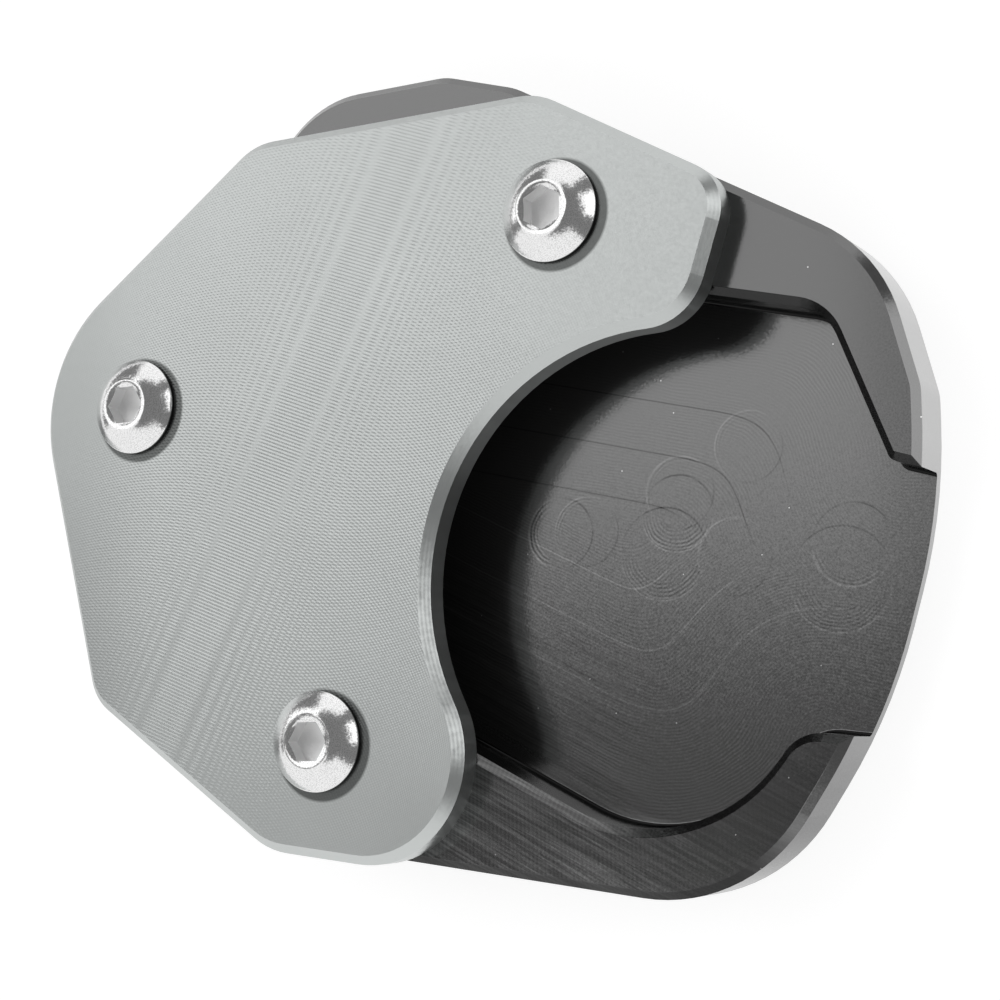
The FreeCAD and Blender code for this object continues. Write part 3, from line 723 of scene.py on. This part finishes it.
def polished_steel():
    material = new_material("stainless steel, cold headed and tumbled")
    tree = material.node_tree
    place = in_millimetres(tree)
    xyz = add(tree, "SeparateXYZ", {}, {0: place})
    peel = add(tree, "TexNoise", {}, {"Vector": place, "Scale": 1 / PEEL_SIZE, "Detail": 3.0})
    lean = random_lean(tree, peel, PEEL_TILT)
    pits = add(tree, "TexNoise", {}, {"Vector": place, "Scale": 1 / PIT_SIZE, "Detail": 1.0})
    pits = add(tree, "MapRange", {}, (pits, *PIT_EDGE))
    on_dome = add(tree, "MapRange", {},
                  {0: (xyz, "Z"), 1: CLAMP_FACE + RIM_TO_DOME[0], 2: CLAMP_FACE + RIM_TO_DOME[1]})
    tint = add(tree, "Mix", {"data_type": "RGBA"},
               {0: pits, 6: linear(STEEL_COLOUR), 7: linear(PIT_COLOUR)})
    # Painted shade on the rim under the dome.
    tint = add(tree, "Mix", {"data_type": "RGBA"},
               {0: on_dome, 6: linear(PAINTED_SHADE_RIM_COLOUR), 7: (tint, 2)})
    rough = add(tree, "MapRange", {}, {0: peel, 3: STEEL_ROUGHNESS[0], 4: STEEL_ROUGHNESS[1]})
    shader = add(tree, "BsdfPrincipled", {},
                 {"Base Color": (tint, 2), "Metallic": 1.0, "Roughness": rough,
                  "Normal": leaning_facet(tree, (lean,))})
    add(tree, "OutputMaterial", {}, {"Surface": shader})
    return material


# Stainless steel cut by the broach that made the socket: fine upright lines, and duller.

BROACH_LINE_SIZE = 1 / 5
BROACH_STRETCH = (1.0, 1.0, 0.1)
BROACH_TILT = (0.3, 0.3, 0.1)
BROACHED_COLOUR = "F2F2F2"
BROACHED_ROUGHNESS = 0.5


def broached_steel():
    material = new_material("stainless steel, broached socket")
    tree = material.node_tree
    place = in_millimetres(tree)
    upright = add(tree, "VectorMath", {"operation": "MULTIPLY"}, {0: place, 1: BROACH_STRETCH})
    lines = add(tree, "TexNoise", {},
                {"Vector": upright, "Scale": 1 / BROACH_LINE_SIZE, "Detail": 2.0})
    lean = random_lean(tree, lines, BROACH_TILT)
    shader = add(tree, "BsdfPrincipled", {},
                 {"Base Color": linear(BROACHED_COLOUR), "Metallic": 1.0,
                  "Roughness": BROACHED_ROUGHNESS, "Normal": leaning_facet(tree, (lean,))})
    add(tree, "OutputMaterial", {}, {"Surface": shader})
    return material


# Screws. Their heads are lower than those of the plain solids, as the photograph shows, so one
# is made here and copied: a round bar whose ends are extruded from ring to ring, each a radius
# and a height over the seat in millimetres. The socket is then cut out.

RING_POINTS = 96
# An end is the face that looks along the axis by more than this.
END_FACING = 0.9
SHANK_RADIUS = 3.0
SHANK_LENGTH = 11.4
TIP_RINGS = ((2.4, -12.0),)
SEAT_RINGS = ((5.09, 0.0), (5.21, 0.06), (5.25, 0.16), (5.25, 0.34), (5.25, 0.42), (5.23, 0.48))
# The dome is part of a ball, from one angle to the other off the axis, in degrees.
DOME_RADIUS = 7.157
DOME_CENTRE = -4.421
DOME_EDGE_ANGLE = 46.5
DOME_TOP_ANGLE = 23.6
DOME_STEPS = 16
LIP_RINGS = ((2.80, 2.19), (2.42, 2.20), (2.34, 2.15), (1.90, 1.98))
SOCKET_WIDTH = 4.0
SOCKET_FLOOR = 0.35
# The broached faces are those with their middles this close to the axis, and no higher than
# this. A wall of the socket has most of its points at the mouth, so its middle is high up.
BROACHED_RADIUS = 2.1
BROACHED_TOP = 1.9
CUTTER_TOP = 3.0
# The drill's point under the socket's floor. Its top reaches a little into the socket.
DRILL_POINT = -0.30
DRILL_TOP = 0.38
DRILL_RADIUS = 1.988
DRILL_SIDES = 48
# Points closer than this after the cuts are merged.
MERGE_DISTANCE = 0.01
# Edges that turn more than this, in degrees, stay sharp.
SHARP_ANGLE = 35


def dome_rings():
    """The rings of the domed top, from its edge up to the lip."""
    rings = []
    for step in range(DOME_STEPS + 1):
        share = step / DOME_STEPS
        angle = math.radians(DOME_EDGE_ANGLE + (DOME_TOP_ANGLE - DOME_EDGE_ANGLE) * share)
        rings.append((DOME_RADIUS * math.sin(angle), DOME_CENTRE + DOME_RADIUS * math.cos(angle)))
    return tuple(rings)


def extrude_end(screw, side, height, rings):
    """Extrude the bar's end at that height, the upper (1) or lower (-1), through the rings."""
    bpy.ops.object.mode_set(mode="EDIT")
    bpy.ops.mesh.select_mode(type="FACE")
    bpy.ops.mesh.select_all(action="DESELECT")
    bpy.ops.object.mode_set(mode="OBJECT")
    for face in screw.data.polygons:
        face.select = face.normal.z * side > END_FACING
    bpy.ops.object.mode_set(mode="EDIT")
    radius = SHANK_RADIUS
    for next_radius, next_height in rings:
        rise = (0.0, 0.0, (next_height - height) * MM)
        growth = next_radius / radius
        bpy.ops.mesh.extrude_region_move(TRANSFORM_OT_translate={"value": rise})
        bpy.ops.transform.resize(value=(growth, growth, 1.0), center_override=(0.0, 0.0, 0.0))
        radius = next_radius
        height = next_height
    bpy.ops.object.mode_set(mode="OBJECT")


def cut(piece, cutter):
    """Take the cutter's shape out of the piece, and remove the cutter."""
    bpy.ops.object.select_all(action="DESELECT")
    bpy.context.view_layer.objects.active = piece
    piece.select_set(True)
    hollow = piece.modifiers.new("hollow", "BOOLEAN")
    hollow.operation = "DIFFERENCE"
    hollow.object = cutter
    bpy.ops.object.modifier_apply(modifier=hollow.name)
    bpy.data.objects.remove(cutter)


def make_screw():
    """One button head screw with a hexagon socket, upright over its seat at the origin."""
    bpy.ops.mesh.primitive_cylinder_add(
        vertices=RING_POINTS, radius=SHANK_RADIUS * MM, depth=SHANK_LENGTH * MM,
        location=(0.0, 0.0, -SHANK_LENGTH / 2 * MM))
    bpy.ops.object.transform_apply(location=True, rotation=True, scale=True)
    screw = bpy.context.active_object
    extrude_end(screw, -1, -SHANK_LENGTH, TIP_RINGS)
    extrude_end(screw, 1, 0.0, SEAT_RINGS + dome_rings() + LIP_RINGS)

    # The socket has a corner along X, so its cutter is turned by half a side.
    bpy.ops.mesh.primitive_cylinder_add(
        vertices=6, radius=SOCKET_WIDTH / math.sqrt(3) * MM, depth=(CUTTER_TOP - SOCKET_FLOOR) * MM,
        location=(0.0, 0.0, (CUTTER_TOP + SOCKET_FLOOR) / 2 * MM), rotation=(0.0, 0.0, math.pi / 6))
    cut(screw, bpy.context.active_object)
    bpy.ops.mesh.primitive_cone_add(
        vertices=DRILL_SIDES, radius1=0.0, radius2=DRILL_RADIUS * MM,
        depth=(DRILL_TOP - DRILL_POINT) * MM,
        location=(0.0, 0.0, (DRILL_TOP + DRILL_POINT) / 2 * MM))
    cut(screw, bpy.context.active_object)
    bpy.ops.object.mode_set(mode="EDIT")
    bpy.ops.mesh.select_all(action="SELECT")
    bpy.ops.mesh.remove_doubles(threshold=MERGE_DISTANCE * MM)
    bpy.ops.object.mode_set(mode="OBJECT")

    screw.data.materials.clear()
    screw.data.materials.append(polished_steel())
    screw.data.materials.append(broached_steel())
    for face in screw.data.polygons:
        near_axis = face.center.xy.length < BROACHED_RADIUS * MM
        in_socket = near_axis and DRILL_POINT * MM < face.center.z < BROACHED_TOP * MM
        face.material_index = 1 if in_socket else 0
    return screw


def make_screws():
    """The three screws as one piece, as their node is."""
    first = make_screw()
    screws = []
    for x, y, turn in SCREW_PLACES:
        screw = bpy.data.objects.new("screw", first.data.copy())
        bpy.context.scene.collection.objects.link(screw)
        screw.location = Vector((x, y, CLAMP_FACE)) * MM
        screw.rotation_euler = (0.0, 0.0, math.radians(turn))
        screws.append(screw)
    bpy.data.objects.remove(first)
    bpy.ops.object.select_all(action="DESELECT")
    for screw in screws:
        screw.select_set(True)
    bpy.context.view_layer.objects.active = screws[0]
    bpy.ops.object.transform_apply(location=True, rotation=True, scale=True)
    bpy.ops.object.join()
    bpy.ops.object.shade_smooth_by_angle(angle=math.radians(SHARP_ANGLE))
    joined = bpy.context.active_object
    joined.name = "button_head_screws"
    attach(joined, "root")
    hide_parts("clamp_screws")


bpy.ops.object.select_all(action="DESELECT")
make_camera()
make_world()
make_floor()
assign(base_plate, black_anodised())
assign(clamp_plate, grey_anodised())
make_screws()
bpy.context.scene.view_settings.view_transform = "Standard"
